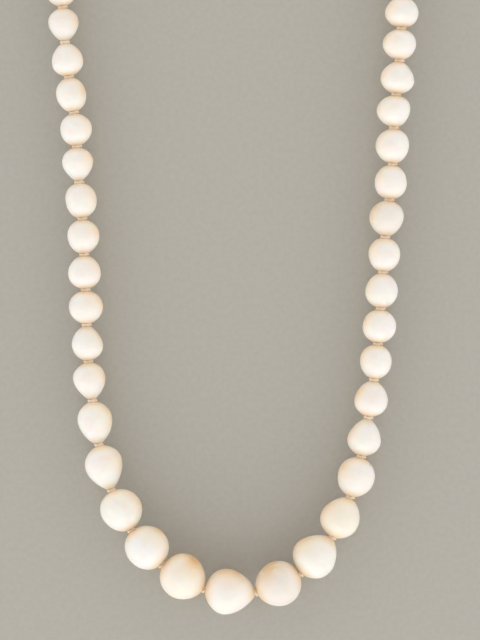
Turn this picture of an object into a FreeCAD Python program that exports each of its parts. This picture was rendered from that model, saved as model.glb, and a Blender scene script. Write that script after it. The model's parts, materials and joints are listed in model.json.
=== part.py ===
import FreeCAD, Part
import math
import os

os.makedirs("parts", exist_ok=True)
Vector = FreeCAD.Vector
up = Vector(0, 0, 1)

# A graduated, knotted strand of near-round pearls with a gold box clasp, lying open on a flat surface.
# Millimetres and degrees.  +Y runs from the largest pearl to the two open ends, +Z is up.

# ---- driving dimensions ----
centre_pearl_size = 10.0     # nominal size of the pearl in the middle
side_pearl_size = 7.0        # nominal size along the sides
end_pearl_size = 6.3         # nominal size next to the clasp
graduated_pearls = 7         # pearls each side over which the middle falls to the side size
closing_pearls = 6           # pearls each side over which the side falls to the end size
knot_gap = 0.5               # clear length of the strand between two drilled faces
bore_diameter = 0.8          # drilled hole through each pearl
bore_clearance = 0.07        # silk to bore wall, on the radius
mouth_diameter = 1.26        # where the drill has broken the hole's edge
mouth_depth = 0.25           # how deep that broken edge goes
land_diameter = 1.5          # small flat round each hole, on which a knot presses
knot_mouth_clearance = 0.12  # knot to the broken edge of the hole
knot_cone = 28.0             # how far the strand can bend at one knot, from straight
tip_sharpness = 2.4          # how far a tapering pearl is drawn in towards its narrow end

gimp_wire = 0.9              # outside diameter of the coiled wire sleeve
gimp_wall = 0.12             # wall of that sleeve
gimp_loop = 1.75             # radius of the sleeve's loop, to the middle of the sleeve
gimp_open = 64.0             # part of the loop left open, where the silk goes back into the pearl
binding_share = 1.3          # the whipped end of the silk there, as a share of the thread's radius
loop_pearl_gap = 0.12        # loop to the drilled face of the last pearl

eye_thickness = 0.6          # flat ring on the end of each clasp half
eye_hole = 2.0
eye_rim = 0.55
box_length = 9.0             # clasp box, along the strand
box_width = 6.6
box_height = 3.4             # from the back plate's underside to the top of the side wall
box_wall = 0.45
box_corner = 1.5             # radius of the box's corners, seen from above
back_plate = 0.4
cover_plate = 0.45
cover_margin = 0.35          # the cover is this much smaller than the box, all round
notch_width = 2.2            # slot in the box's lip for the thumb piece
notch_length = 1.5
blade_clearance = 0.15       # tongue to the inside of the box, each side
blade_thickness = 0.4
blade_length = 6.6           # the tongue's leaves, from the fold to the tail block
leaf_gap = 0.9               # space between the two leaves at the tail end
leaf_press = 5.5             # how far the upper leaf is pressed, in degrees
tail_length = 1.4            # solid block that carries the tongue's eye
thumb_length = 1.3
thumb_height = 1.0
thumb_width = 1.8
part_clearance = 0.1         # between pieces of the clasp that only just miss each other
silk_share_place = 12        # the silk is made in lengths that meet inside this pearl on each side

# ---- what follows from them ----
bore_radius = bore_diameter / 2
silk_radius = bore_radius - bore_clearance
mouth_radius = mouth_diameter / 2
land_radius = land_diameter / 2
gimp_radius = gimp_wire / 2
loop_silk_radius = gimp_radius - gimp_wall - bore_clearance
binding_radius = silk_radius * binding_share
eye_reach = eye_hole / 2 + eye_rim
eye_middle = box_height / 2
sections = 11                # outlines along one pearl
outline_points = 12          # points round one outline
nearly_upright = 0.9         # rise of an edge's direction, above which it counts as a corner's edge

# The tongue is sized to pass the mouth, and its upper leaf to spring up behind the mouth's lip.
mouth_width = box_width - 2 * box_corner
blade_width = mouth_width - 2 * blade_clearance
mouth_height = 2 * blade_thickness + leaf_gap / 2 + blade_clearance
leaf_slope = math.degrees(math.atan2(leaf_gap, blade_length))
blade_low = eye_middle - blade_thickness

# Each pearl's own shape, from the centre outwards.  heading: direction of its bore above the X axis,
# away from the centre.  long, wide: its length and its width, as shares of the nominal size there.
# taper: above 0 is broader at the far end.  bulge: above 0 is fuller towards the outside of the curve.
# lean: above 0 leans its far half that way.  full: above 1 is a barrel, below 1 a pointed shape.
centre_shape = (-3.5, 1.06, 0.96, -0.20, 0.02, -0.02, 1.00)
right_shapes = [
    (23.0, 0.99, 0.98, 0.04, 0.02, 0.00, 1.02),
    (48.5, 1.03, 0.99, -0.17, -0.05, 0.02, 0.97),
    (66.0, 1.01, 0.94, -0.13, -0.04, 0.05, 1.00),
    (75.0, 1.03, 0.98, 0.04, 0.02, 0.00, 1.02),
    (79.5, 1.06, 0.94, -0.22, 0.00, 0.00, 0.96),
    (81.5, 1.06, 1.01, -0.13, 0.02, 0.00, 1.00),
    (84.0, 1.03, 0.98, 0.05, 0.00, -0.03, 1.03),
    (85.5, 1.00, 1.03, 0.00, 0.02, 0.02, 1.00),
    (86.0, 1.04, 1.00, -0.05, 0.00, 0.03, 1.03),
    (86.5, 1.00, 0.98, 0.04, 0.02, -0.02, 1.10),
    (84.0, 1.07, 1.05, 0.09, -0.05, 0.06, 1.00),
    (84.5, 1.01, 0.99, -0.04, 0.00, -0.02, 1.14),
    (88.0, 1.04, 1.03, 0.04, -0.05, 0.02, 1.02),
    (86.0, 0.94, 1.02, 0.07, -0.10, 0.07, 1.10),
    (84.5, 0.97, 1.03, -0.13, -0.02, -0.07, 1.02),
    (86.5, 0.91, 1.03, 0.04, -0.07, 0.02, 1.05),
    (86.0, 0.90, 1.03, -0.04, -0.04, 0.00, 1.04),
]
left_shapes = [
    (30.0, 1.00, 0.99, 0.07, -0.04, -0.03, 1.00),
    (48.5, 0.99, 0.99, 0.00, -0.05, 0.02, 1.02),
    (63.5, 1.02, 1.01, 0.05, -0.03, 0.02, 1.00),
    (74.5, 1.17, 0.97, 0.23, 0.02, -0.03, 0.97),
    (81.5, 1.18, 0.97, 0.18, 0.00, 0.00, 1.03),
    (84.0, 1.11, 0.96, 0.23, 0.03, 0.03, 0.98),
    (87.5, 1.05, 0.95, -0.14, 0.00, 0.08, 0.98),
    (88.5, 0.99, 1.05, 0.04, 0.00, 0.00, 1.01),
    (87.5, 1.00, 1.01, -0.05, 0.02, 0.00, 1.02),
    (87.0, 1.02, 0.99, 0.06, -0.03, -0.02, 1.02),
    (85.0, 1.04, 0.97, 0.04, -0.04, 0.03, 1.13),
    (86.5, 1.02, 0.94, 0.22, 0.00, 0.00, 1.00),
    (85.0, 0.96, 0.98, 0.04, -0.06, -0.02, 1.02),
    (82.0, 1.03, 0.92, 0.04, 0.00, 0.04, 1.05),
    (83.5, 0.99, 0.97, -0.11, -0.04, -0.03, 1.02),
    (86.0, 1.00, 0.92, 0.18, 0.00, 0.02, 1.00),
    (86.0, 0.96, 0.93, -0.04, 0.02, 0.00, 1.02),
]
right_shapes += [
    (87.0, 1.02, 1.01, 0.05, 0.00, 0.03, 1.03),
    (88.5, 0.98, 1.00, -0.07, 0.02, 0.00, 1.02),
    (90.0, 1.03, 0.98, 0.09, 0.00, -0.04, 1.00),
    (91.5, 0.97, 1.01, 0.00, 0.03, 0.02, 1.06),
    (92.0, 1.00, 1.00, -0.09, 0.00, 0.00, 1.02),
    (92.5, 0.99, 1.02, 0.05, 0.00, 0.03, 1.00),
]
left_shapes += [
    (87.5, 0.99, 1.01, 0.07, 0.00, 0.02, 1.03),
    (89.0, 1.03, 0.98, -0.09, 0.02, -0.03, 1.00),
    (90.0, 0.97, 1.02, 0.04, 0.00, 0.04, 1.05),
    (91.0, 1.02, 0.99, 0.09, -0.02, 0.00, 1.00),
    (92.0, 0.98, 1.01, -0.05, 0.00, 0.03, 1.03),
    (92.5, 1.01, 1.00, 0.04, 0.02, 0.00, 1.02),
]


def nominal_size(place):
    """The graded size of the pearl that is this many places from the middle."""
    share = 0.5 + 0.5 * math.cos(math.pi * min(place / graduated_pearls, 1))
    size = side_pearl_size + (centre_pearl_size - side_pearl_size) * share
    last_side_pearl = len(right_shapes) - closing_pearls
    closing = max(place - last_side_pearl, 0) / closing_pearls
    return size + (end_pearl_size - side_pearl_size) * closing


def flat_direction(heading, side):
    """Level direction of a bore on the right side (1) or the left side (-1)."""
    turn = math.radians(heading)
    return Vector(side * math.cos(turn), math.sin(turn), 0)


def lay_strand():
    """Places every pearl between two knots.  Gives {node: pearl}, in order from left end to right end."""
    pearls = {}
    for side, word, shapes in ((-1, "left", left_shapes), (1, "right", right_shapes)):
        rows = [centre_shape] + shapes
        widths = [nominal_size(place) * row[2] for place, row in enumerate(rows)]
        middle = flat_direction(centre_shape[0], 1)
        half = (nominal_size(0) * centre_shape[1] + knot_gap) / 2
        knot = middle * (side * half)
        for place in range(1, len(rows)):
            heading, long, wide, taper, bulge, lean, full = rows[place]
            size = nominal_size(place)
            step = size * long + knot_gap
            far_width = widths[min(place + 1, len(rows) - 1)]
            inner = knot + up * ((widths[place - 1] + widths[place]) / 4)
            outer = knot + flat_direction(heading, side) * step
            outer_height = (widths[place] + far_width) / 4
            pearls[f"{word}_pearl_{place:02d}"] = {
                "inner": inner,
                "outer": outer + up * outer_height,
                "side": side,
                "place": place,
                "width": size * wide,
                "taper": taper,
                "bulge": bulge,
                "lean": lean,
                "full": full,
            }
            knot = outer
    left_first = pearls["left_pearl_01"]
    right_first = pearls["right_pearl_01"]
    pearls["centre_pearl"] = {
        "inner": left_first["inner"],
        "outer": right_first["inner"],
        "side": 1,
        "place": 0,
        "width": nominal_size(0) * centre_shape[2],
        "taper": centre_shape[3],
        "bulge": centre_shape[4],
        "lean": centre_shape[5],
        "full": centre_shape[6],
    }
    left = [name for name in pearls if name.startswith("left")]
    right = [name for name in pearls if name.startswith("right")]
    order = left[::-1] + ["centre_pearl"] + right
    return {name: pearls[name] for name in order}


def axes_of(pearl):
    """Along the bore, towards the outside of the curve, and the third direction."""
    along = (pearl["outer"] - pearl["inner"]).normalize()
    outside = along.cross(up).normalize() * pearl["side"]
    above = along.cross(outside) * pearl["side"] * -1
    return along, outside, above


def drawn_in(taper, turn, first):
    """Share by which a tapering pearl is narrower here, between its middle and the flat at its narrow end."""
    past_middle = (turn - math.pi / 2) / (math.pi / 2 - first) * (-1 if taper > 0 else 1)
    towards_tip = max(past_middle, 0)
    return tip_sharpness * abs(taper) * (towards_tip ** 2 - towards_tip ** 10)


def pearl_solid(pearl):
    """One pearl: outlines lofted along the bore, then drilled, with the hole's two edges broken."""
    along, outside, above = axes_of(pearl)
    middle = (pearl["inner"] + pearl["outer"]) / 2
    half_long = (pearl["outer"] - pearl["inner"]).Length / 2 - knot_gap / 2
    half_wide = pearl["width"] / 2
    half_high = middle.z
    first = math.asin(land_radius / half_wide)
    outlines = []
    for index in range(sections):
        turn = first + (math.pi - 2 * first) * index / (sections - 1)
        station = -math.cos(turn) / math.cos(first)
        belly = math.sin(turn) ** 2 - math.sin(first) ** 2
        swell = math.sin(turn) ** (1 / pearl["full"]) * (1 + pearl["taper"] * station * belly)
        swell *= 1 - drawn_in(pearl["taper"], turn, first)
        aside = half_wide * belly * (pearl["bulge"] + pearl["lean"] * station)
        centre = middle + along * (half_long * station) + outside * aside
        points = []
        for number in range(outline_points):
            angle = 2 * math.pi * number / outline_points
            across = outside * (half_wide * swell * math.cos(angle))
            points.append(centre + across + above * (half_high * swell * math.sin(angle)))
        curve = Part.BSplineCurve()
        curve.interpolate(points, PeriodicFlag=True)
        outlines.append(Part.Wire(curve.toShape()))
    solid = Part.makeLoft(outlines, True, False)
    start = middle - along * half_long
    end = middle + along * half_long
    drill = Part.makeCylinder(bore_radius, 2 * half_long, start, along)
    solid = solid.cut(drill)
    for face, inward in ((start, along), (end, along * -1)):
        solid = solid.cut(Part.makeCone(mouth_radius, bore_radius, mouth_depth, face, inward))
    return solid


def knot_radius():
    """The largest knot that stays clear of the broken edges on both sides of the gap."""
    slope = math.atan2(mouth_depth, mouth_radius - bore_radius)
    to_tip = knot_gap / 2 + mouth_radius * math.tan(slope)
    return to_tip * math.cos(slope) - knot_mouth_clearance


def end_loop(pearl):
    """The sleeve's loop past an end pearl: its middle, its axis, and the ways to the silk and to the eye."""
    along = axes_of(pearl)[0]
    face = pearl["outer"] - along * (knot_gap / 2)
    level = Vector(along.x, along.y, 0).normalize()
    drop = (face.z - eye_middle) / 2
    centre = face + level * (loop_pearl_gap + gimp_radius + gimp_loop) - up * drop
    to_silk = (face - centre).normalize()
    to_eye = level * math.sqrt(1 - (drop / gimp_loop) ** 2) - up * (drop / gimp_loop)
    return centre, level.cross(up), to_silk, to_eye


def part_ring(centre, axis, to_opening, tube_radius, open_angle):
    """A round-section ring with a stretch left open on the side of to_opening."""
    profile = Part.Circle(centre + to_opening * gimp_loop, axis.cross(to_opening), tube_radius)
    face = Part.Face(Part.Wire(profile.toShape()))
    ring = face.revolve(centre, axis, 360 - open_angle)
    ring.rotate(centre, axis, open_angle / 2)
    return ring


def gimp_solid(pearl):
    """Coiled wire sleeve that guards the silk where it goes round the clasp's eye."""
    centre, axis, to_silk, _ = end_loop(pearl)
    sleeve = part_ring(centre, axis, to_silk, gimp_radius, gimp_open)
    return sleeve.cut(Part.makeTorus(gimp_loop, gimp_radius - gimp_wall, centre, axis))


def silk_bead(radius, middle, direction):
    """A tight knot or binding, with its poles on the thread."""
    return Part.makeSphere(radius, middle, direction)


def silk_length(pearls, word, first, last):
    """The silk from the middle of one bore to the middle of another, or to the end loop."""
    pieces = []
    for place in range(first, last + 1):
        pearl = pearls[f"{word}_pearl_{place:02d}"] if place > 0 else pearls["centre_pearl"]
        ends = [pearl["inner"], pearl["outer"]]
        if place == 0 and word == "left":
            ends.reverse()
        middle = (ends[0] + ends[1]) / 2
        start = middle if place == first else ends[0]
        end = middle if place == last and place < len(right_shapes) else ends[1]
        span = end - start
        pieces.append(Part.makeCylinder(silk_radius, span.Length, start, span))
        if place > first:
            pieces.append(silk_bead(knot_radius(), start, span))
    return pieces


def silk_loop(pearl):
    """The last knot, the loop through the sleeve and the whipping that closes it."""
    centre, axis, to_silk, _ = end_loop(pearl)
    binding = centre + to_silk * gimp_loop
    link = binding - pearl["outer"]
    return [
        Part.makeTorus(gimp_loop, loop_silk_radius, centre, axis),
        Part.makeCylinder(silk_radius, link.Length, pearl["outer"], link),
        silk_bead(knot_radius(), pearl["outer"], link),
        silk_bead(binding_radius, binding, axis.cross(to_silk)),
    ]


def silk_solids(pearls):
    """The silk thread: through every bore, a knot in every gap, and a loop at each end."""
    solids = {}
    last = len(right_shapes)
    for word in ("left", "right"):
        front = silk_length(pearls, word, 0, silk_share_place)
        back = silk_length(pearls, word, silk_share_place, last)
        back += silk_loop(pearls[f"{word}_pearl_{last:02d}"])
        solids[f"silk_{word}_front"] = front[0].multiFuse(front[1:])
        solids[f"silk_{word}_back"] = back[0].multiFuse(back[1:])
    return solids


def eye_ring(middle):
    """Flat ring with its axis upright."""
    low = middle - up * (eye_thickness / 2)
    ring = Part.makeCylinder(eye_hole / 2 + eye_rim, eye_thickness, low, up)
    return ring.cut(Part.makeCylinder(eye_hole / 2, eye_thickness, low, up))


def rounded_slab(x_low, x_high, width, z_low, z_high, corner):
    """A plate or block with rounded upright corners, lying along X."""
    slab = Part.makeBox(x_high - x_low, width, z_high - z_low, Vector(x_low, -width / 2, z_low))
    upright = [edge for edge in slab.Edges if abs(edge.tangentAt(edge.FirstParameter).z) > nearly_upright]
    return slab.makeFillet(corner, upright)


def straight_slab(x_low, x_high, width, z_low, z_high):
    return Part.makeBox(x_high - x_low, width, z_high - z_low, Vector(x_low, -width / 2, z_low))


def box_half():
    """Clasp box at the origin: its eye is centred on Z and its mouth faces +X."""
    x_low = eye_reach - box_wall / 2
    x_high = x_low + box_length
    inside_low = x_low + box_wall
    walls = rounded_slab(x_low, x_high, box_width, back_plate, box_height, box_corner)
    inside_width = box_width - 2 * box_wall
    inside_top = box_height - box_wall
    inner_corner = box_corner - box_wall
    hollow = rounded_slab(
        inside_low, x_high - box_wall, inside_width, back_plate, inside_top, inner_corner
    )
    mouth_top = back_plate + mouth_height
    mouth = straight_slab(x_high - 2 * box_corner, x_high, mouth_width, back_plate, mouth_top)
    notch = straight_slab(x_high - notch_length, x_high, notch_width, back_plate, box_height)
    shell = walls.cut(hollow).cut(mouth).cut(notch)
    back = rounded_slab(x_low, x_high, box_width, 0, back_plate, box_corner)
    cover_low = x_low + cover_margin
    cover_high = x_high - notch_length - part_clearance
    cover_width = box_width - 2 * cover_margin
    cover_top = box_height + cover_plate
    cover_corner = box_corner - cover_margin
    cover = rounded_slab(cover_low, cover_high, cover_width, box_height, cover_top, cover_corner)
    rim = [edge for edge in cover.Edges if edge.BoundBox.ZMin > cover_top - part_clearance]
    cover = cover.makeFillet(cover_plate / 2, rim)
    eye = eye_ring(Vector(0, 0, eye_middle)).cut(walls)
    return {"clasp_box": shell, "clasp_back_plate": back, "clasp_cover": cover, "clasp_box_eye": eye}


def leaf_fold():
    """Line about which the upper leaf springs, at the tip of the tongue."""
    tip = eye_reach + tail_length + blade_length
    return Vector(tip, 0, blade_low + blade_thickness)


def tongue_half():
    """Tongue at the origin: its eye is centred on Z and its folded tip points along +X."""
    tail_low = eye_reach - box_wall / 2
    tail_high = eye_reach + tail_length
    fold = leaf_fold()
    lower = straight_slab(tail_high, fold.x, blade_width, blade_low, blade_low + blade_thickness)
    tail = rounded_slab(tail_low, tail_high, blade_width, 0, eye_middle + eye_thickness / 2, box_wall)
    base = tail.fuse(lower)
    leaf_low = tail_high + thumb_length
    leaf = straight_slab(leaf_low, fold.x, blade_width, fold.z, fold.z + blade_thickness)
    thumb = straight_slab(
        tail_high + part_clearance, leaf_low, thumb_width, fold.z, fold.z + blade_thickness
    )
    tab = straight_slab(
        tail_high + part_clearance,
        tail_high + part_clearance + blade_thickness,
        thumb_width,
        fold.z,
        fold.z + blade_thickness + thumb_height,
    )
    leaf = leaf.fuse([thumb, tab])
    leaf.rotate(fold, Vector(0, 1, 0), leaf_slope)
    leaf.translate(Vector(0, 0, part_clearance))
    eye = eye_ring(Vector(0, 0, eye_middle)).cut(tail)
    return {"clasp_tongue": base, "clasp_tongue_leaf": leaf, "clasp_tongue_eye": eye}


def clasp_place(pearl):
    """Where a clasp half goes: its eye round the far side of the sleeve's loop."""
    centre, _, _, to_eye = end_loop(pearl)
    heading = math.degrees(math.atan2(to_eye.y, to_eye.x))
    return centre + to_eye * gimp_loop, heading


def placed(shapes, pearl):
    far, heading = clasp_place(pearl)
    for shape in shapes.values():
        shape.rotate(Vector(0, 0, 0), up, heading)
        shape.translate(Vector(far.x, far.y, 0))
    return shapes


def build():
    """All sub-parts before the model is moved to its origin."""
    pearls = lay_strand()
    names = list(pearls)
    left_end = pearls[names[0]]
    right_end = pearls[names[-1]]
    shapes = {name: pearl_solid(pearls[name]) for name in names}
    shapes.update(silk_solids(pearls))
    shapes["gimp_left"] = gimp_solid(left_end)
    shapes["gimp_right"] = gimp_solid(right_end)
    shapes.update(placed(tongue_half(), left_end))
    shapes.update(placed(box_half(), right_end))
    return shapes


def origin_shift(shapes):
    """Brings the middle of the underside to the origin."""
    box = FreeCAD.BoundBox()
    for shape in shapes.values():
        box.add(shape.optimalBoundingBox(False))
    return Vector(-(box.XMin + box.XMax) / 2, -(box.YMin + box.YMax) / 2, -box.ZMin)


def knot_bends(pearls):
    """How far each knot is bent as the strand lies, and what is left of its cone each way."""
    for name, pearl in pearls.items():
        if pearl["place"] == 0:
            continue
        nearer = f"{name[:-2]}{pearl['place'] - 1:02d}" if pearl["place"] > 1 else "centre_pearl"
        bend = math.degrees(axes_of(pearl)[0].getAngle(axes_of(pearls[nearer])[0]))
        if nearer == "centre_pearl" and pearl["side"] < 0:
            bend = 180 - bend
        print(name, "bend", round(bend, 1), "left", round(knot_cone - bend, 1), round(knot_cone + bend, 1))


all_shapes = build()
shift = origin_shift(all_shapes)
for node, shape in all_shapes.items():
    shape.translate(shift)
    shape.exportStep(f"parts/{node}.step")
    print(node, "solids", len(shape.Solids), "volume", round(shape.Volume, 2), "valid", shape.isValid())
knot_bends(lay_strand())
print("upper leaf opens", round(leaf_slope, 2), "and is pressed by", leaf_press)
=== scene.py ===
import json
import math
import random

import bpy
import bmesh
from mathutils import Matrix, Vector, noise
from mathutils.bvhtree import BVHTree

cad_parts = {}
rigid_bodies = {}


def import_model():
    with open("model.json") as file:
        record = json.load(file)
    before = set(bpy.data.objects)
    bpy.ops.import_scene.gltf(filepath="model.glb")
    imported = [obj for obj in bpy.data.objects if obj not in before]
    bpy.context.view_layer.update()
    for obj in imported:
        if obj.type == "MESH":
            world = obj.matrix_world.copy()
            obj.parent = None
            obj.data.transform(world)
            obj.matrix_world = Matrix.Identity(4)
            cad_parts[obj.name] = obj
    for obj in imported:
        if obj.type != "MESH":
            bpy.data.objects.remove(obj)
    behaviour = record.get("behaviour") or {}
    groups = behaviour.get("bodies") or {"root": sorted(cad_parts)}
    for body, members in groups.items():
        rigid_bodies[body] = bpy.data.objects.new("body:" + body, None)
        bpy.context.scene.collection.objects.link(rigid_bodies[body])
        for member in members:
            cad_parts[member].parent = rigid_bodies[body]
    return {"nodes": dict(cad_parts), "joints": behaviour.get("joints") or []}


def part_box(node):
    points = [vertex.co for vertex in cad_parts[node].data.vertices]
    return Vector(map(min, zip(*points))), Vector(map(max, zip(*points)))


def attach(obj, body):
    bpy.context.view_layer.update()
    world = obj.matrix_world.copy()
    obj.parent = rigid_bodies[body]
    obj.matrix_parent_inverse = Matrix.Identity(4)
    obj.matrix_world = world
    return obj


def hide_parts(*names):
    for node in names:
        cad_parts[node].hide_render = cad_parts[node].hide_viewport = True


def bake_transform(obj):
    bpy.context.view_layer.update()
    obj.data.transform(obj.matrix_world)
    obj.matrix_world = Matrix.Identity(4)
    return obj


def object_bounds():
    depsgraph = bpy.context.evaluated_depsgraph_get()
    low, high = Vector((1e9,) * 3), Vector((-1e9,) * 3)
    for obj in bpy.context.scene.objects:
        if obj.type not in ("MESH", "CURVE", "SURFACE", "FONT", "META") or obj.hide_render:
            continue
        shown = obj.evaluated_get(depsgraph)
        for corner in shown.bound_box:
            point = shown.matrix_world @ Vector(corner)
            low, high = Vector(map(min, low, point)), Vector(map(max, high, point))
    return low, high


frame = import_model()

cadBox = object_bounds()
scene = bpy.context.scene
mm = 0.001
up = Vector((0, 0, 1))
nearlyUpright = 0.1     # a direction this near to upright takes its side from X
sceneJoints = {joint["child"]: joint for joint in frame["joints"]}
random.seed(23)


def addPiece(name, vertices, faces, material, body):
    mesh = bpy.data.meshes.new(name)
    mesh.from_pydata([tuple(v) for v in vertices], [], faces)
    mesh.validate()
    mesh.polygons.foreach_set("use_smooth", [True] * len(mesh.polygons))
    mesh.materials.append(material)
    piece = bpy.data.objects.new(name, mesh)
    scene.collection.objects.link(piece)
    if body:            # a piece given no body stays unattached
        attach(piece, body)
    return piece


# two directions square to the first and to each other
def crossAxes(along):
    side = along.cross(up)
    if side.length < nearlyUpright:
        side = along.cross(Vector((1, 0, 0)))
    side.normalize()
    return side, side.cross(along).normalized()


# rings along a path
def sweptTube(path, radius, around, closed=False, ripple=None):
    vertices, faces = [], []
    side, lift = None, None
    count = len(path)
    for index, point in enumerate(path):
        before = path[(index - 1) % count] if closed else path[max(index - 1, 0)]
        after = path[(index + 1) % count] if closed else path[min(index + 1, count - 1)]
        along = (after - before).normalized()
        if side is None:
            side, lift = crossAxes(along)
        side = (side - along * side.dot(along)).normalized()
        lift = side.cross(along)
        for number in range(around):
            angle = 2 * math.pi * number / around
            size = radius if ripple is None else radius * ripple(index / count, angle)
            vertices.append(point + side * (size * math.cos(angle)) + lift * (size * math.sin(angle)))
    rings = count if closed else count - 1
    for index in range(rings):
        here, there = index * around, ((index + 1) % count) * around
        for number in range(around):
            beside = (number + 1) % around
            faces.append((here + number, here + beside, there + beside, there + number))
    if not closed:
        faces.append(tuple(range(around))[::-1])
        faces.append(tuple(range((count - 1) * around, count * around)))
    return vertices, faces


def addNode(tree, kind, values=None, **settings):
    node = tree.nodes.new(kind)
    for key, value in settings.items():
        setattr(node, key, value)
    for key, value in (values or {}).items():
        node.inputs[key].default_value = value
    return node


def addBump(tree, strength, height, **settings):
    return addNode(tree, "ShaderNodeBump", {"Strength": strength, "Distance": height}, **settings)


def newMaterial(name, values):
    material = bpy.data.materials.new(name)
    material.use_nodes = True
    tree = material.node_tree
    shader = tree.nodes["Principled BSDF"]
    for key, value in values.items():
        shader.inputs[key].default_value = value
    return material, tree, shader


# mix node whose factor and colours may be sockets or plain values
def mixColour(tree, factor, first, second, blend="MIX"):
    node = tree.nodes.new("ShaderNodeMix")
    node.data_type = "RGBA"
    node.blend_type = blend
    for key, value in ((0, factor), (6, first), (7, second)):
        if isinstance(value, bpy.types.NodeSocket):
            tree.links.new(value, node.inputs[key])
        else:
            node.inputs[key].default_value = value
    return node.outputs[2]


def mapRange(tree, value, fromLow, fromHigh, toLow, toHigh):
    node = addNode(tree, "ShaderNodeMapRange", {1: fromLow, 2: fromHigh, 3: toLow, 4: toHigh})
    node.interpolation_type = "SMOOTHSTEP"
    tree.links.new(value, node.inputs[0])
    return node.outputs[0]


def newGroup(name, inputs, outputs):
    group = bpy.data.node_groups.new(name, "ShaderNodeTree")
    for title, kind, value in inputs:
        socket = group.interface.new_socket(title, in_out="INPUT", socket_type=kind)
        if value is not None:
            socket.default_value = value
    for title, kind in outputs:
        group.interface.new_socket(title, in_out="OUTPUT", socket_type=kind)
    entry = group.nodes.new("NodeGroupInput")
    leave = group.nodes.new("NodeGroupOutput")
    return group, entry, leave


def placeGroup(tree, group, values):
    node = tree.nodes.new("ShaderNodeGroup")
    node.node_tree = group
    for key, value in values.items():
        node.inputs[key].default_value = value
    coordinates = tree.nodes.new("ShaderNodeTexCoord")
    tree.links.new(coordinates.outputs["Object"], node.inputs["Vector"])
    return node


# soft cloudy patches and a fine grain over them
def softMottle():
    group, entry, leave = newGroup(
        "softMottle",
        [
            ("Vector", "NodeSocketVector", None),
            ("Patch", "NodeSocketFloat", 300.0),
            ("Grain", "NodeSocketFloat", 3000.0),
        ],
        [("Patches", "NodeSocketFloat"), ("Grain", "NodeSocketFloat")],
    )
    patches = addNode(group, "ShaderNodeTexNoise", {"Detail": 2.0, "Roughness": 0.45, "Distortion": 0.6})
    grain = addNode(group, "ShaderNodeTexNoise", {"Detail": 3.0, "Roughness": 0.6})
    for texture, size in ((patches, "Patch"), (grain, "Grain")):
        group.links.new(entry.outputs["Vector"], texture.inputs["Vector"])
        group.links.new(entry.outputs[size], texture.inputs["Scale"])
    group.links.new(patches.outputs["Fac"], leave.inputs["Patches"])
    group.links.new(grain.outputs["Fac"], leave.inputs["Grain"])
    return group


wearLook = {
    "turns": (0.5, 2.1),            # of the two sets of scratches
    "tilt": (0.3, 0.2),
    "drawnOut": (1.0, 0.04, 0.3),
    "scratchRange": (0.58, 0.7, 0.0, 1.0),
    "smudgeScale": 350.0,
}


# hair scratches that cross each other, and smudges left by fingers
def handlingWear():
    group, entry, leave = newGroup(
        "handlingWear",
        [("Vector", "NodeSocketVector", None), ("Scale", "NodeSocketFloat", 1500.0)],
        [("Scratches", "NodeSocketFloat"), ("Smudges", "NodeSocketFloat")],
    )
    crossed = []
    for turn in wearLook["turns"]:
        drawnOut = {"Rotation": (*wearLook["tilt"], turn), "Scale": wearLook["drawnOut"]}
        mapping = addNode(group, "ShaderNodeMapping", drawnOut)
        streaks = addNode(group, "ShaderNodeTexNoise", {"Detail": 3.0, "Roughness": 0.7})
        group.links.new(entry.outputs["Vector"], mapping.inputs["Vector"])
        group.links.new(mapping.outputs["Vector"], streaks.inputs["Vector"])
        group.links.new(entry.outputs["Scale"], streaks.inputs["Scale"])
        crossed.append(mapRange(group, streaks.outputs["Fac"], *wearLook["scratchRange"]))
    both = addNode(group, "ShaderNodeMath", operation="MAXIMUM")
    group.links.new(crossed[0], both.inputs[0])
    group.links.new(crossed[1], both.inputs[1])
    smudges = addNode(group, "ShaderNodeTexNoise", {"Scale": wearLook["smudgeScale"], "Detail": 3.0})
    group.links.new(entry.outputs["Vector"], smudges.inputs["Vector"])
    group.links.new(both.outputs[0], leave.inputs["Scratches"])
    group.links.new(smudges.outputs["Fac"], leave.inputs["Smudges"])
    return group


mottle = softMottle()
wear = handlingWear()


nacre = {
    "body": (0.935, 0.92, 0.895, 1.0),      # overall tone, which each pearl's own tint and its painted shade then shift
    "pinkBlushAndPaintedShade": (0.92, 0.81, 0.74, 1.0),       # pink patches
    "cool": (0.86, 0.87, 0.83, 1.0),        # faint green-grey patches
    "peach": (0.90, 0.67, 0.43, 1.0),       # round the drilled ends
    "scatter": 2.2 * mm,
    "scatterShares": (1.0, 0.72, 0.52),
    "patchScale": 330.0,        # the higher, the finer
    "grainScale": 2600.0,
    "pitScale": 520.0,
    # from and to in the pattern, then what they turn into
    "pinkRange": (0.46, 0.70, 0.0, 0.42),
    "coolRange": (0.46, 0.28, 0.0, 0.35),
    "peachRange": (0.0, 1.0, 0.0, 0.82),
    "roughRange": (0.3, 0.7, 0.48, 0.36),
    "pitRange": (0.0, 0.10, 0.0, 1.0),
    # strength and height of each relief
    "skin": (0.25, 0.03 * mm),
    "growthLines": (0.35, 0.04 * mm),
    "pits": (0.35, 0.05 * mm),
}


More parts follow.
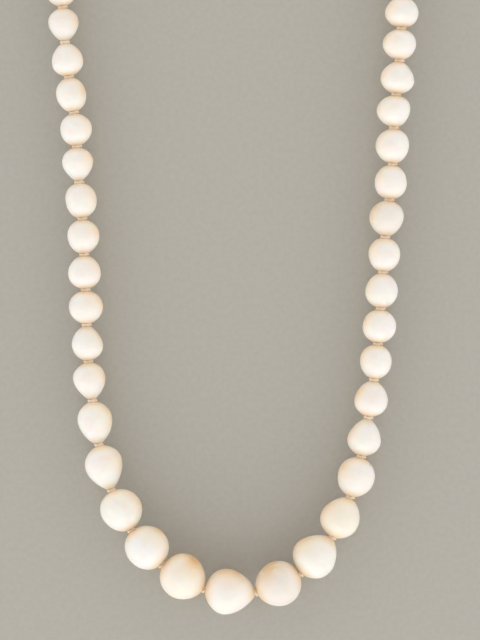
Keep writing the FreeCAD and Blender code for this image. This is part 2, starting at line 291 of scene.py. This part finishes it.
def nacreMaterial():
    material, tree, shader = newMaterial("pearl_nacre", {
        "Subsurface Weight": 0.7,
        "Subsurface Scale": nacre["scatter"],
        "Subsurface Radius": nacre["scatterShares"],
        "IOR": 1.53,
        "Coat Weight": 0.30,
        "Coat Roughness": 0.20,
        "Coat IOR": 1.5,
        "Sheen Weight": 0.10,
        "Sheen Roughness": 0.5,
        "Sheen Tint": (1.0, 0.93, 0.86, 1.0),
    })
    links = tree.links
    clouds = placeGroup(tree, mottle, {"Patch": nacre["patchScale"], "Grain": nacre["grainScale"]})
    tint = addNode(tree, "ShaderNodeAttribute", attribute_name="pearlTintAndPaintedShade")
    ends = addNode(tree, "ShaderNodeAttribute", attribute_name="drillEnds")
    growth = addNode(tree, "ShaderNodeAttribute", attribute_name="growthRings")
    pinkness = mapRange(tree, clouds.outputs["Patches"], *nacre["pinkRange"])
    coolness = mapRange(tree, clouds.outputs["Patches"], *nacre["coolRange"])
    # each pearl's own tint, with painted shade on the side towards the inside of the curve
    colour = mixColour(tree, 1.0, nacre["body"], tint.outputs["Color"], "MULTIPLY")
    colour = mixColour(tree, pinkness, colour, nacre["pinkBlushAndPaintedShade"])
    colour = mixColour(tree, coolness, colour, nacre["cool"])
    warm = mapRange(tree, ends.outputs["Fac"], *nacre["peachRange"])
    colour = mixColour(tree, warm, colour, nacre["peach"])
    links.new(colour, shader.inputs["Base Color"])
    # satin, a little silkier on the patches
    satin = mapRange(tree, clouds.outputs["Patches"], *nacre["roughRange"])
    links.new(satin, shader.inputs["Roughness"])
    # growth lines round the bore, skin grain and a few pits
    pits = addNode(tree, "ShaderNodeTexVoronoi", {"Scale": nacre["pitScale"], "Randomness": 1.0})
    coordinates = tree.nodes.new("ShaderNodeTexCoord")
    links.new(coordinates.outputs["Object"], pits.inputs["Vector"])
    pitDepth = mapRange(tree, pits.outputs["Distance"], *nacre["pitRange"])
    skin = addBump(tree, *nacre["skin"])
    links.new(clouds.outputs["Grain"], skin.inputs["Height"])
    rings = addBump(tree, *nacre["growthLines"])
    links.new(growth.outputs["Fac"], rings.inputs["Height"])
    links.new(skin.outputs["Normal"], rings.inputs["Normal"])
    holes = addBump(tree, *nacre["pits"])
    links.new(pitDepth, holes.inputs["Height"])
    links.new(rings.outputs["Normal"], holes.inputs["Normal"])
    links.new(holes.outputs["Normal"], shader.inputs["Normal"])
    return material


silkLook = {
    "low": (0.97, 0.80, 0.62, 1.0),
    "high": (0.98, 0.87, 0.73, 1.0),
    "patchScale": 900.0,
    "fibreScale": 9000.0,
    "shadeRange": (0.3, 0.7, 0.0, 1.0),
    "fibres": (0.6, 0.03 * mm),     # strength and height
}


def silkMaterial():
    material, tree, shader = newMaterial("knot_silk", {
        "Roughness": 0.62,
        "Sheen Weight": 0.35,
        "Sheen Roughness": 0.4,
    })
    links = tree.links
    clouds = placeGroup(tree, mottle, {"Patch": silkLook["patchScale"], "Grain": silkLook["fibreScale"]})
    shade = mapRange(tree, clouds.outputs["Patches"], *silkLook["shadeRange"])
    colour = mixColour(tree, shade, silkLook["low"], silkLook["high"])
    links.new(colour, shader.inputs["Base Color"])
    fibres = addBump(tree, *silkLook["fibres"])
    links.new(clouds.outputs["Grain"], fibres.inputs["Height"])
    links.new(fibres.outputs["Normal"], shader.inputs["Normal"])
    return material


goldLooks = {       # roughness where clean and where touched, and strength of the scratches
    "clasp_gold": {"colour": (0.95, 0.72, 0.37, 1.0), "clean": 0.14, "touched": 0.26, "scratch": 0.25},
    "cover_gold": {"colour": (0.97, 0.76, 0.42, 1.0), "clean": 0.10, "touched": 0.20, "scratch": 0.12},
    "gimp_gold": {"colour": (0.94, 0.73, 0.42, 1.0), "clean": 0.22, "touched": 0.34, "scratch": 0.10},
}
goldWear = {
    "scratchScale": 1500.0,
    "scratchDepth": 0.01 * mm,
    "dullRange": (0.35, 0.7),
    "toneRange": (0.4, 0.65, 0.0, 1.0),
    "tone": 0.86,       # how much of the colour's brightness a smudge leaves
}


def goldMaterial(name):
    look = goldLooks[name]
    material, tree, shader = newMaterial(name, {"Metallic": 1.0})
    links = tree.links
    marks = placeGroup(tree, wear, {"Scale": goldWear["scratchScale"]})
    dullness = (*goldWear["dullRange"], look["clean"], look["touched"])
    dulled = mapRange(tree, marks.outputs["Smudges"], *dullness)
    links.new(dulled, shader.inputs["Roughness"])
    deeper = tuple(value * goldWear["tone"] for value in look["colour"][:3]) + (1.0,)
    smudged = mapRange(tree, marks.outputs["Smudges"], *goldWear["toneRange"])
    tone = mixColour(tree, smudged, look["colour"], deeper)
    links.new(tone, shader.inputs["Base Color"])
    bump = addBump(tree, look["scratch"], goldWear["scratchDepth"], invert=True)
    links.new(marks.outputs["Scratches"], bump.inputs["Height"])
    links.new(bump.outputs["Normal"], shader.inputs["Normal"])
    return material


floorLook = {
    "low": (0.475, 0.46, 0.42, 1.0),
    "high": (0.50, 0.485, 0.445, 1.0),
    "grainScale": 900.0,
    "shadeRange": (0.3, 0.7, 0.0, 1.0),
    "size": 6.0,        # from the middle to each edge, in metres
}


def floorMaterial():
    material, tree, shader = newMaterial("pale_floor", {"Roughness": 0.9, "Specular IOR Level": 0.2})
    clouds = placeGroup(tree, mottle, {"Grain": floorLook["grainScale"]})
    shade = mapRange(tree, clouds.outputs["Grain"], *floorLook["shadeRange"])
    colour = mixColour(tree, shade, floorLook["low"], floorLook["high"])
    tree.links.new(colour, shader.inputs["Base Color"])
    return material


pearlSkin = nacreMaterial()
silk = silkMaterial()
gold = goldMaterial("clasp_gold")
brightGold = goldMaterial("cover_gold")
wireGold = goldMaterial("gimp_gold")
print("materials made")


# every pearl's node name, in order from the left end to the right end
def findPearls():
    left = sorted(name for name in frame["nodes"] if name.startswith("left_pearl"))
    right = sorted(name for name in frame["nodes"] if name.startswith("right_pearl"))
    return left[::-1] + ["centre_pearl"] + right


def knotBefore(name):
    return Vector(sceneJoints[name]["pos_m"])


# middle of the drilled face that lies away from the knot at inner
def farFace(name, inner):
    low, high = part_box(name)
    face = low + high - inner
    points = [vertex.co.copy() for vertex in frame["nodes"][name].data.vertices]
    for attempt in range(faceTries):
        along = (face - inner).normalized()
        furthest = max(point.dot(along) for point in points)
        flat = [point for point in points if furthest - point.dot(along) < faceDepth]
        face = sum(flat, Vector()) / len(flat)
    return face


# middles of each pearl's two drilled faces: the one nearer the centre pearl, then the other
def drilledFaces():
    faces = {}
    centre = pearlNames.index("centre_pearl")
    for names in (pearlNames[centre + 1:], pearlNames[:centre][::-1]):
        for name, further in zip(names, names[1:] + [None]):
            inner = knotBefore(name)
            if further:
                outer = knotBefore(further)
                along = (outer - inner).normalized()
                faces[name] = (inner + along * knotGap / 2, outer - along * knotGap / 2)
            else:
                end = farFace(name, inner)
                faces[name] = (inner + (end - inner).normalized() * knotGap / 2, end)
    left, right = knotBefore("left_pearl_01"), knotBefore("right_pearl_01")
    along = (right - left).normalized()
    faces["centre_pearl"] = (left + along * knotGap / 2, right - along * knotGap / 2)
    return faces


knotGap = 0.5 * mm
faceDepth = 0.03 * mm   # points this near to the furthest one count as on the drilled face
faceTries = 3
pearlNames = findPearls()
drilled = drilledFaces()


pearlShape = {
    "around": 60,
    "along": 44,
    "mouth": 0.63 * mm,
    "bore": 0.40 * mm,
    "mouthDepth": 0.25 * mm,
    "lipWidth": 1.25,           # of the bore's radius, half way down the mouth
    "lipDepth": 0.55,           # of the mouth's depth, as is the next
    "boreDepth": 3,
    "firstRing": 1.12,          # the skin's first ring, as a share of the mouth's radius
    "castFrom": 4,              # half lengths out, clear of the skin
    "relief": 0.09 * mm,        # gentle unevenness of the skin
    "reliefScale": 420.0,
    "reliefLayers": (1.0, 2.0, 2),
    "reliefShift": 7000,        # moves each pearl to its own stretch of the unevenness
    "sharpFrom": 40,            # degrees
}
pearlMarks = {
    "dimples": (2, 5),          # fewest and most on a pearl
    "dimpleWidth": (0.10, 0.24),        # radians
    "dimpleDepth": 0.08 * mm,
    "strength": (0.4, 1.0),
    "circleShare": 0.45,        # of the pearls have grooves round them
    "circles": (1, 3),
    # where a groove lies is the cosine of its angle from the bore
    "firstCircle": (-0.75, 0.5),
    "circleSpacing": 0.17,
    "circleWidth": 0.05,
    "circleDepth": 0.05 * mm,
}
pearlTone = {
    "endShare": 0.24,           # the peach ends reach this far along the pearl
    "endFade": 1.4,
    "seeds": (0, 50),
    "usual": (1.0, 0.98, 0.97),
    "drift": 0.02,              # the usual tint's most change, and half as much in green
    "wobbleScale": 300,
    "wobble": 0.5,
    "lines": 46,                # growth lines along a pearl, in radians
    "lineWobble": 5,
    "pinkBlushAndPaintedShade": (0.92, 0.76, 0.56),    # painted shade: the darker, warmer colour that the side towards the inside of the curve turns to
    "paintedShadeLead": 18 * mm,       # the painted shade's side leads towards the open ends by this much
    "paintedShadeWobble": 0.35,
    # strength and sharpness of the painted shade's broad part and of its deeper edge
    "broad": (0.6, 1.5),
    "edge": (0.7, 5),
    "everywhere": 0.45,
    "across": 1.45,             # more painted shade where the strand runs across
}

# tints of the pearls that stand out; the others get a small random one
ownTint = {
    "left_pearl_01": (1.0, 0.96, 0.88),
    "left_pearl_02": (1.0, 1.0, 1.0),
    "left_pearl_03": (1.0, 1.0, 0.98),
    "left_pearl_04": (1.0, 0.98, 0.97),
    "left_pearl_05": (1.0, 1.0, 0.99),
    "left_pearl_16": (0.95, 0.93, 0.92),
    "centre_pearl": (1.0, 0.97, 0.96),
    "right_pearl_01": (0.92, 0.88, 0.85),
    "right_pearl_02": (1.0, 1.0, 0.98),
    "right_pearl_03": (1.0, 0.95, 0.87),
    "right_pearl_11": (0.93, 0.90, 0.87),
    "right_pearl_12": (1.0, 0.975, 0.96),
}


# the dimples and the round grooves that one pearl has
def skinMarks(name, along):
    chance = random.Random(name)
    dimples = []
    for number in range(chance.randint(*pearlMarks["dimples"])):
        way = Vector([chance.uniform(-1, 1) for axis in range(3)]).normalized()
        wide = chance.uniform(*pearlMarks["dimpleWidth"])
        dimples.append((way, wide, chance.uniform(*pearlMarks["strength"])))
    circles = []
    if chance.random() < pearlMarks["circleShare"]:
        first = chance.uniform(*pearlMarks["firstCircle"])
        for number in range(chance.randint(*pearlMarks["circles"])):
            place = first + pearlMarks["circleSpacing"] * number
            circles.append((place, chance.uniform(*pearlMarks["strength"])))

    def depth(direction):
        deep = 0.0
        for way, wide, strong in dimples:
            away = direction.angle(way) / wide
            deep += pearlMarks["dimpleDepth"] * strong * math.exp(-away * away)
        station = direction.dot(along)
        for place, strong in circles:
            away = (station - place) / pearlMarks["circleWidth"]
            deep += pearlMarks["circleDepth"] * strong * math.exp(-away * away)
        return deep

    return depth


# rings round the bore laid on the frame's own pearl, then the broken edge and the bore itself
def pearlMesh(name):
    start, end = drilled[name]
    middle = (start + end) / 2
    half = (end - start).length / 2
    along = (end - start).normalized()
    side, lift = crossAxes(along)
    surface = frame["nodes"][name].data
    tree = BVHTree.FromPolygons([v.co for v in surface.vertices], [p.vertices for p in surface.polygons])
    first = math.atan2(pearlShape["mouth"] * pearlShape["firstRing"], half)
    marks = skinMarks(name, along)
    count, around = pearlShape["along"], pearlShape["around"]
    rings = []
    for index in range(count):
        polar = first + (math.pi - 2 * first) * index / (count - 1)
        ring = []
        for number in range(around):
            angle = 2 * math.pi * number / around
            out = side * math.cos(angle) + lift * math.sin(angle)
            direction = (out * math.sin(polar) - along * math.cos(polar)).normalized()
            hit = tree.ray_cast(middle + direction * pearlShape["castFrom"] * half, -direction)[0]
            reach = (hit - middle).length
            spot = hit * pearlShape["reliefScale"] + middle * pearlShape["reliefShift"]
            bumpy = noise.fractal(spot, *pearlShape["reliefLayers"])
            fade = math.sin(polar) ** 2
            lower = pearlShape["relief"] * (0.5 + 0.5 * bumpy) + marks(direction)
            ring.append(middle + direction * (reach - lower * fade))
        rings.append(ring)
    turns = [2 * math.pi * number / around for number in range(around)]
    bore, deep = pearlShape["bore"], pearlShape["mouthDepth"]
    lips = []
    for face, sign in ((start, 1), (end, -1)):
        lip = []
        for radius, depth in (
            (pearlShape["mouth"], 0.0),
            (bore * pearlShape["lipWidth"], deep * pearlShape["lipDepth"]),
            (bore, deep),
            (bore, deep * pearlShape["boreDepth"]),
        ):
            at = face + along * (sign * depth)
            lip.append([
                at + side * (radius * math.cos(turn)) + lift * (radius * math.sin(turn))
                for turn in turns
            ])
        lips.append(lip)
    rings = lips[0][::-1] + rings + lips[1]
    return rings, start, end, along


def buildPearl(name):
    rings, start, end, along = pearlMesh(name)
    around = pearlShape["around"]
    vertices = [point for ring in rings for point in ring]
    faces = []
    for index in range(len(rings)):      # the last ring joins the first, through the bore
        here, there = index * around, ((index + 1) % len(rings)) * around
        for number in range(around):
            beside = (number + 1) % around
            faces.append((here + number, here + beside, there + beside, there + number))
    piece = addPiece(name + "_nacre", vertices, faces, pearlSkin, name)
    fixNormals(piece)
    piece.data.set_sharp_from_angle(angle=math.radians(pearlShape["sharpFrom"]))
    paintPearl(piece, name, start, end, along)
    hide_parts(name)


# the peach ends, the growth lines, and the pearl's own tint with painted shade, darker and warmer
# towards the inside of the curve
def paintPearl(piece, name, start, end, along):
    length = (end - start).length
    middle = (start + end) / 2
    inward = Vector((-middle.x, pearlTone["paintedShadeLead"], 0.0)).normalized()
    reach = pearlTone["endShare"]
    seed = random.uniform(*pearlTone["seeds"])
    drift = random.uniform(-pearlTone["drift"], pearlTone["drift"])
    red, green, blue = pearlTone["usual"]
    own = ownTint.get(name, (red, green + drift / 2, blue + drift))
    # strength and shape of the painted shade on the side towards the inside of the curve
    broad, edge = pearlTone["broad"], pearlTone["edge"]
    strength = pearlTone["everywhere"] + pearlTone["across"] * inward.y ** 2
    ends, lines, tints = [], [], []
    for vertex in piece.data.vertices:
        share = (vertex.co - start).dot(along) / length
        near = max(1 - share / reach, 1 - (1 - share) / reach, 0)
        ends.append(min(near, 1) ** pearlTone["endFade"])
        spot = vertex.co * pearlTone["wobbleScale"] + Vector((seed, 0, 0))
        wobble = pearlTone["wobble"] * noise.noise(spot)
        phase = share * pearlTone["lines"] + wobble * pearlTone["lineWobble"] + seed
        lines.append(0.5 + 0.5 * math.sin(phase))
        # painted shade: darker, warmer colour on the side towards the inside of the curve, multiplied
        # into the pearl's own tint
        side = (vertex.co - middle).normalized().dot(inward) + pearlTone["paintedShadeWobble"] * wobble
        rim = max(side, 0)
        pinkBlushAndPaintedShade = (broad[0] * rim ** broad[1] + edge[0] * rim ** edge[1]) * strength
        tints.extend(tone * deep ** pinkBlushAndPaintedShade for tone, deep in zip(own, pearlTone["pinkBlushAndPaintedShade"]))
        tints.append(1.0)
    for title, values in (("drillEnds", ends), ("growthRings", lines)):
        piece.data.attributes.new(title, "FLOAT", "POINT").data.foreach_set("value", values)
    piece.data.attributes.new("pearlTintAndPaintedShade", "FLOAT_COLOR", "POINT").data.foreach_set("color", tints)


def fixNormals(piece):
    work = bmesh.new()
    work.from_mesh(piece.data)
    bmesh.ops.recalc_face_normals(work, faces=work.faces)
    work.to_mesh(piece.data)
    work.free()


for pearlName in pearlNames:
    buildPearl(pearlName)
print("pearls made:", len(pearlNames))


silkShape = {
    "thread": 0.31 * mm,
    "threadSides": 18,
    "threadSteps": 24,
    "pastFace": 0.15 * mm,    # the thread in a pearl runs this far past its drilled faces
    "strand": 0.25 * mm,      # one pass of the thread in a knot, squeezed
    "strandSides": 10,
    "ring": 0.72 * mm,        # of a straight knot
    "bentRing": 0.40 * mm,    # of a knot bent by the next value or more
    "fullBend": 26.0,         # degrees
    "wander": 0.20 * mm,
    "flatten": 0.12 * mm,
    "heart": 0.2 * mm,        # half length of the plug that fills a knot's middle
    "heartSides": 16,
    "give": 0.25 * mm,        # room for a knot to give each way when the strand bends
    "steps": 72,
    "plies": 3,
    "twist": 9,               # with the steps above it comes out as two thirds of a turn
    "plyDepth": 0.1,
}


# radius of a three-ply thread round its section
def pliedThread(share, angle):
    depth = silkShape["plyDepth"]
    turn = share * silkShape["plies"] * silkShape["twist"]
    return 1 - depth + depth * math.cos(silkShape["plies"] * angle + turn * 2 * math.pi)


# an overhand knot drawn tight between two drilled faces: twice round, in three lobes
def buildKnot(name, centre, along, body, bend=0.0):
    side, lift = crossAxes(along)
    slack = max(1 - bend / silkShape["fullBend"], 0)
    ring = silkShape["bentRing"] + (silkShape["ring"] - silkShape["bentRing"]) * slack
    path = []
    for index in range(silkShape["steps"]):
        turn = 2 * math.pi * index / silkShape["steps"]
        radius = ring + silkShape["wander"] * math.cos(3 * turn)
        wide = side * math.cos(2 * turn) + lift * math.sin(2 * turn)
        path.append(centre + wide * radius + along * (silkShape["flatten"] * math.sin(3 * turn)))
    vertices, faces = sweptTube(path, silkShape["strand"], silkShape["strandSides"], closed=True)
    half = along * silkShape["heart"]
    heart, caps = sweptTube([centre - half, centre, centre + half], ring, silkShape["heartSides"])
    offset = len(vertices)
    vertices += heart
    faces += [tuple(index + offset for index in face) for face in caps]
    return addPiece(name, vertices, faces, silk, body)


def buildThread(name, start, end, body):
    steps = silkShape["threadSteps"]
    path = [start.lerp(end, index / steps) for index in range(steps + 1)]
    vertices, faces = sweptTube(path, silkShape["thread"], silkShape["threadSides"], ripple=pliedThread)
    return addPiece(name, vertices, faces, silk, body)


# a thread through each pearl, and a knot before it, drawn tighter the more the strand bends between its
# two pearls
def buildSilk():
    pieces = []
    for name in pearlNames:
        start, end = drilled[name]
        along = (end - start).normalized()
        past = along * silkShape["pastFace"]
        pieces.append(buildThread("thread_in_" + name, start - past, end + past, name))
        if name != "centre_pearl":
            parent = sceneJoints[name]["parent"]
            nearer = drilled[parent]
            before = (nearer[1] - nearer[0]).normalized()
            bend = math.degrees(along.angle(before))
            bend = min(bend, 180 - bend)    # the two pearls' directions may run opposite ways
            place = knotBefore(name)
            knot = buildKnot("knot_at_" + name, place, along, None, bend)
            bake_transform(knot)
            pieces.append(knot)
    return pieces


silkNodes = [name for name in frame["nodes"] if name.startswith("silk_")]
silkPieces = buildSilk()
for piece in silkPieces:
    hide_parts(*silkNodes)
print("silk made:", len(silkPieces))


gimpShape = {
    "wire": 0.055 * mm,
    "wireSides": 6,
    "pitch": 0.125 * mm,
    "turnSteps": 8,             # points in one turn of the wire
    "sleeve": 0.45 * mm,        # outside radius
    "loop": 1.75 * mm,          # radius of the loop, to the middle of the sleeve
    "open": 64.0,               # degrees of the loop left open, where the silk goes back
    "gap": 0.12 * mm,           # from the loop to the last pearl's drilled face
    "silk": 0.27 * mm,          # radius of the silk inside the sleeve
    "silkSides": 12,
    "silkSteps": 64,
    "knotOut": 0.28 * mm,       # middle of the last knot, from that face
}


# middle, plane and opening of a sleeve's loop
def gimpLoop(node, pearl):
    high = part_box(node)[1]
    start, end = drilled[pearl]
    along = (end - start).normalized()
    level = Vector((along.x, along.y, 0)).normalized()
    outer = gimpShape["loop"] + gimpShape["sleeve"]
    centre = end + level * (outer + gimpShape["gap"])
    centre.z = high.z - outer
    toSilk = (end - centre).normalized()
    return centre, level.cross(up), toSilk


# a sleeve of coiled wire, the silk loop inside it and the strand's last knot
def buildGimp(node, pearl):
    centre, axis, toSilk = gimpLoop(node, pearl)
    across = axis.cross(toSilk).normalized()
    sweep = math.radians(360 - gimpShape["open"])
    length = sweep * gimpShape["loop"]
    turns = int(length / gimpShape["pitch"])
    steps = turns * gimpShape["turnSteps"]
    radius = gimpShape["sleeve"] - gimpShape["wire"]
    path = []
    for index in range(steps + 1):
        share = index / steps
        around = math.radians(gimpShape["open"]) / 2 + sweep * share
        out = toSilk * math.cos(around) + across * math.sin(around)
        coil = 2 * math.pi * turns * share
        away = out * (gimpShape["loop"] + radius * math.cos(coil))
        path.append(centre + away + axis * (radius * math.sin(coil)))
    vertices, faces = sweptTube(path, gimpShape["wire"], gimpShape["wireSides"])
    piece = addPiece(node + "_coil", vertices, faces, wireGold, pearl)
    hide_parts(node)
    ring = []
    for index in range(gimpShape["silkSteps"]):
        around = 2 * math.pi * index / gimpShape["silkSteps"]
        out = toSilk * math.cos(around) + across * math.sin(around)
        ring.append(centre + out * gimpShape["loop"])
    vertices, faces = sweptTube(ring, gimpShape["silk"], gimpShape["silkSides"], closed=True)
    loop = addPiece(node + "_silk", vertices, faces, silk, pearl)
    start, end = drilled[pearl]
    along = (end - start).normalized()
    last = buildKnot(node + "_knot", end + along * gimpShape["knotOut"], along, pearl)
    for extra in (loop, last):
        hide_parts(*silkNodes)


buildGimp("gimp_left", pearlNames[0])
buildGimp("gimp_right", pearlNames[-1])
print("sleeves made")


edgeFinish = {
    "weld": 0.002 * mm,
    "flatWithin": 2,        # degrees, as are the next two
    "bevelFrom": 35,
    "sharpFrom": 50,
    "segments": 2,
}


# a clasp part of the frame with its flat faces whole again and its edges broken
def softEdges(node, body, material, slot, width):
    work = bmesh.new()
    work.from_mesh(frame["nodes"][node].data)
    bmesh.ops.remove_doubles(work, verts=work.verts, dist=edgeFinish["weld"])
    flat = math.radians(edgeFinish["flatWithin"])
    bmesh.ops.dissolve_limit(work, angle_limit=flat, verts=work.verts, edges=work.edges)
    mesh = bpy.data.meshes.new(node + "_finished")
    work.to_mesh(mesh)
    work.free()
    mesh.materials.append(material)
    piece = bpy.data.objects.new(node + "_finished", mesh)
    scene.collection.objects.link(piece)
    bevel = piece.modifiers.new("edges", "BEVEL")
    bevel.width = width
    bevel.segments = edgeFinish["segments"]
    bevel.limit_method = "ANGLE"
    bevel.angle_limit = math.radians(edgeFinish["bevelFrom"])
    bevel.use_clamp_overlap = True
    evaluated = piece.evaluated_get(bpy.context.evaluated_depsgraph_get())
    done = bpy.data.meshes.new_from_object(evaluated)
    piece.modifiers.clear()
    piece.data = done
    done.polygons.foreach_set("use_smooth", [True] * len(done.polygons))
    done.set_sharp_from_angle(angle=math.radians(edgeFinish["sharpFrom"]))
    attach(piece, body)
    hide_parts(node)


claspParts = {      # body, material, slot and width of the broken edge
    "clasp_box": ("clasp_box", gold, "gold", 0.08 * mm),
    "clasp_back_plate": ("clasp_box", gold, "gold", 0.08 * mm),
    "clasp_box_eye": ("clasp_box", gold, "gold", 0.12 * mm),
    "clasp_tongue": ("clasp_tongue", gold, "gold", 0.07 * mm),
    "clasp_tongue_eye": ("clasp_tongue", gold, "gold", 0.12 * mm),
    "clasp_tongue_leaf": ("clasp_leaf", gold, "gold", 0.07 * mm),
    "clasp_cover": ("clasp_box", brightGold, "gold_cover", 0.06 * mm),
}
for claspNode, finish in claspParts.items():
    softEdges(claspNode, *finish)
print("clasp made")


def addFloor():
    size = floorLook["size"]
    mesh = bpy.data.meshes.new("floor")
    corners = [(-size, -size, 0), (size, -size, 0), (size, size, 0), (-size, size, 0)]
    mesh.from_pydata(corners, [], [(0, 1, 2, 3)])
    mesh.materials.append(floorMaterial())
    floor = bpy.data.objects.new("floor", mesh)
    scene.collection.objects.link(floor)


def addLamp(name, place, aim, size, power):
    data = bpy.data.lights.new(name, "AREA")
    data.size = size
    data.energy = power
    data.color = studio["white"]
    lamp = bpy.data.objects.new(name, data)
    scene.collection.objects.link(lamp)
    lamp.location = place
    lamp.rotation_euler = (Vector(aim) - Vector(place)).to_track_quat("-Z", "Y").to_euler()
    lamp.visible_camera = False


studio = {
    "horizon": 2.3,         # strength of the tent low down, and straight up
    "zenith": 0.15,
    "frontShare": 0.14,     # how much more of it comes from the front
    "tent": (1.0, 0.975, 0.945, 1.0),
    "backdrop": (0.68, 0.665, 0.63, 1.0),
    "above": {"height": 1.3, "size": 1.5, "power": 1.1},
    "front": {"reach": 0.9, "height": 0.55, "size": 0.8, "power": 1.3},
    "white": (1.0, 0.985, 0.96),
}


# a white tent all round, brightest low down; the camera, gloss and glass see a plain backdrop instead
def lightTent():
    world = bpy.data.worlds.new("tent")
    scene.world = world
    world.use_nodes = True
    tree = world.node_tree
    links = tree.links
    tent = tree.nodes["Background"]
    tent.inputs["Color"].default_value = studio["tent"]
    way = tree.nodes.new("ShaderNodeTexCoord")
    parts = tree.nodes.new("ShaderNodeSeparateXYZ")
    links.new(way.outputs["Generated"], parts.inputs[0])
    fall = {1: 0.0, 2: 1.0, 3: studio["horizon"], 4: studio["zenith"]}
    rise = addNode(tree, "ShaderNodeMapRange", fall)
    links.new(parts.outputs["Z"], rise.inputs[0])
    share = studio["frontShare"]
    aheadToBehind = {1: -1.0, 2: 1.0, 3: 1 + share, 4: 1 - share}
    facing = addNode(tree, "ShaderNodeMapRange", aheadToBehind)
    links.new(parts.outputs["Y"], facing.inputs[0])
    strength = addNode(tree, "ShaderNodeMath", operation="MULTIPLY")
    links.new(rise.outputs[0], strength.inputs[0])
    links.new(facing.outputs[0], strength.inputs[1])
    links.new(strength.outputs[0], tent.inputs["Strength"])
    backdrop = addNode(tree, "ShaderNodeBackground", {"Color": studio["backdrop"], "Strength": 1.0})
    rays = tree.nodes.new("ShaderNodeLightPath")
    seen = rays.outputs["Is Camera Ray"]
    for kind in ("Is Glossy Ray", "Is Transmission Ray"):
        either = addNode(tree, "ShaderNodeMath", operation="MAXIMUM")
        links.new(seen, either.inputs[0])
        links.new(rays.outputs[kind], either.inputs[1])
        seen = either.outputs[0]
    mix = tree.nodes.new("ShaderNodeMixShader")
    links.new(seen, mix.inputs[0])
    links.new(tent.outputs[0], mix.inputs[1])
    links.new(backdrop.outputs[0], mix.inputs[2])
    links.new(mix.outputs[0], tree.nodes["World Output"].inputs["Surface"])


def lightScene():
    low, high = cadBox
    middle = (Vector(low) + Vector(high)) / 2
    above, front = studio["above"], studio["front"]
    addLamp("lampAbove", (0, middle.y, above["height"]), middle, above["size"], above["power"])
    ahead = (0, low[1] - front["reach"], front["height"])
    addLamp("lampFront", ahead, middle, front["size"], front["power"])
    lightTent()


view = {
    "height": 136.2 * mm,       # taken in from top to bottom, at the next value's level
    "above": 4 * mm,            # over the floor
    "distance": 0.62,
    "sensor": 36.0,
    "aside": 2.13 * mm,         # how far the camera stands from the centre pearl's middle
    "towardsEnds": 57.7 * mm,
}


# straight down on the lower part of the strand
def addCamera():
    low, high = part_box("centre_pearl")
    pearl = (low + high) / 2
    data = bpy.data.cameras.new("camera")
    data.sensor_width = view["sensor"]
    data.lens = view["sensor"] * (view["distance"] - view["above"]) / view["height"]
    camera = bpy.data.objects.new("camera", data)
    scene.collection.objects.link(camera)
    camera.location = (pearl.x + view["aside"], pearl.y + view["towardsEnds"], view["distance"])
    camera.rotation_euler = (0, 0, 0)
    scene.camera = camera


addFloor()
lightScene()
addCamera()
scene.view_settings.view_transform = "Standard"
print("floor, light and camera made")
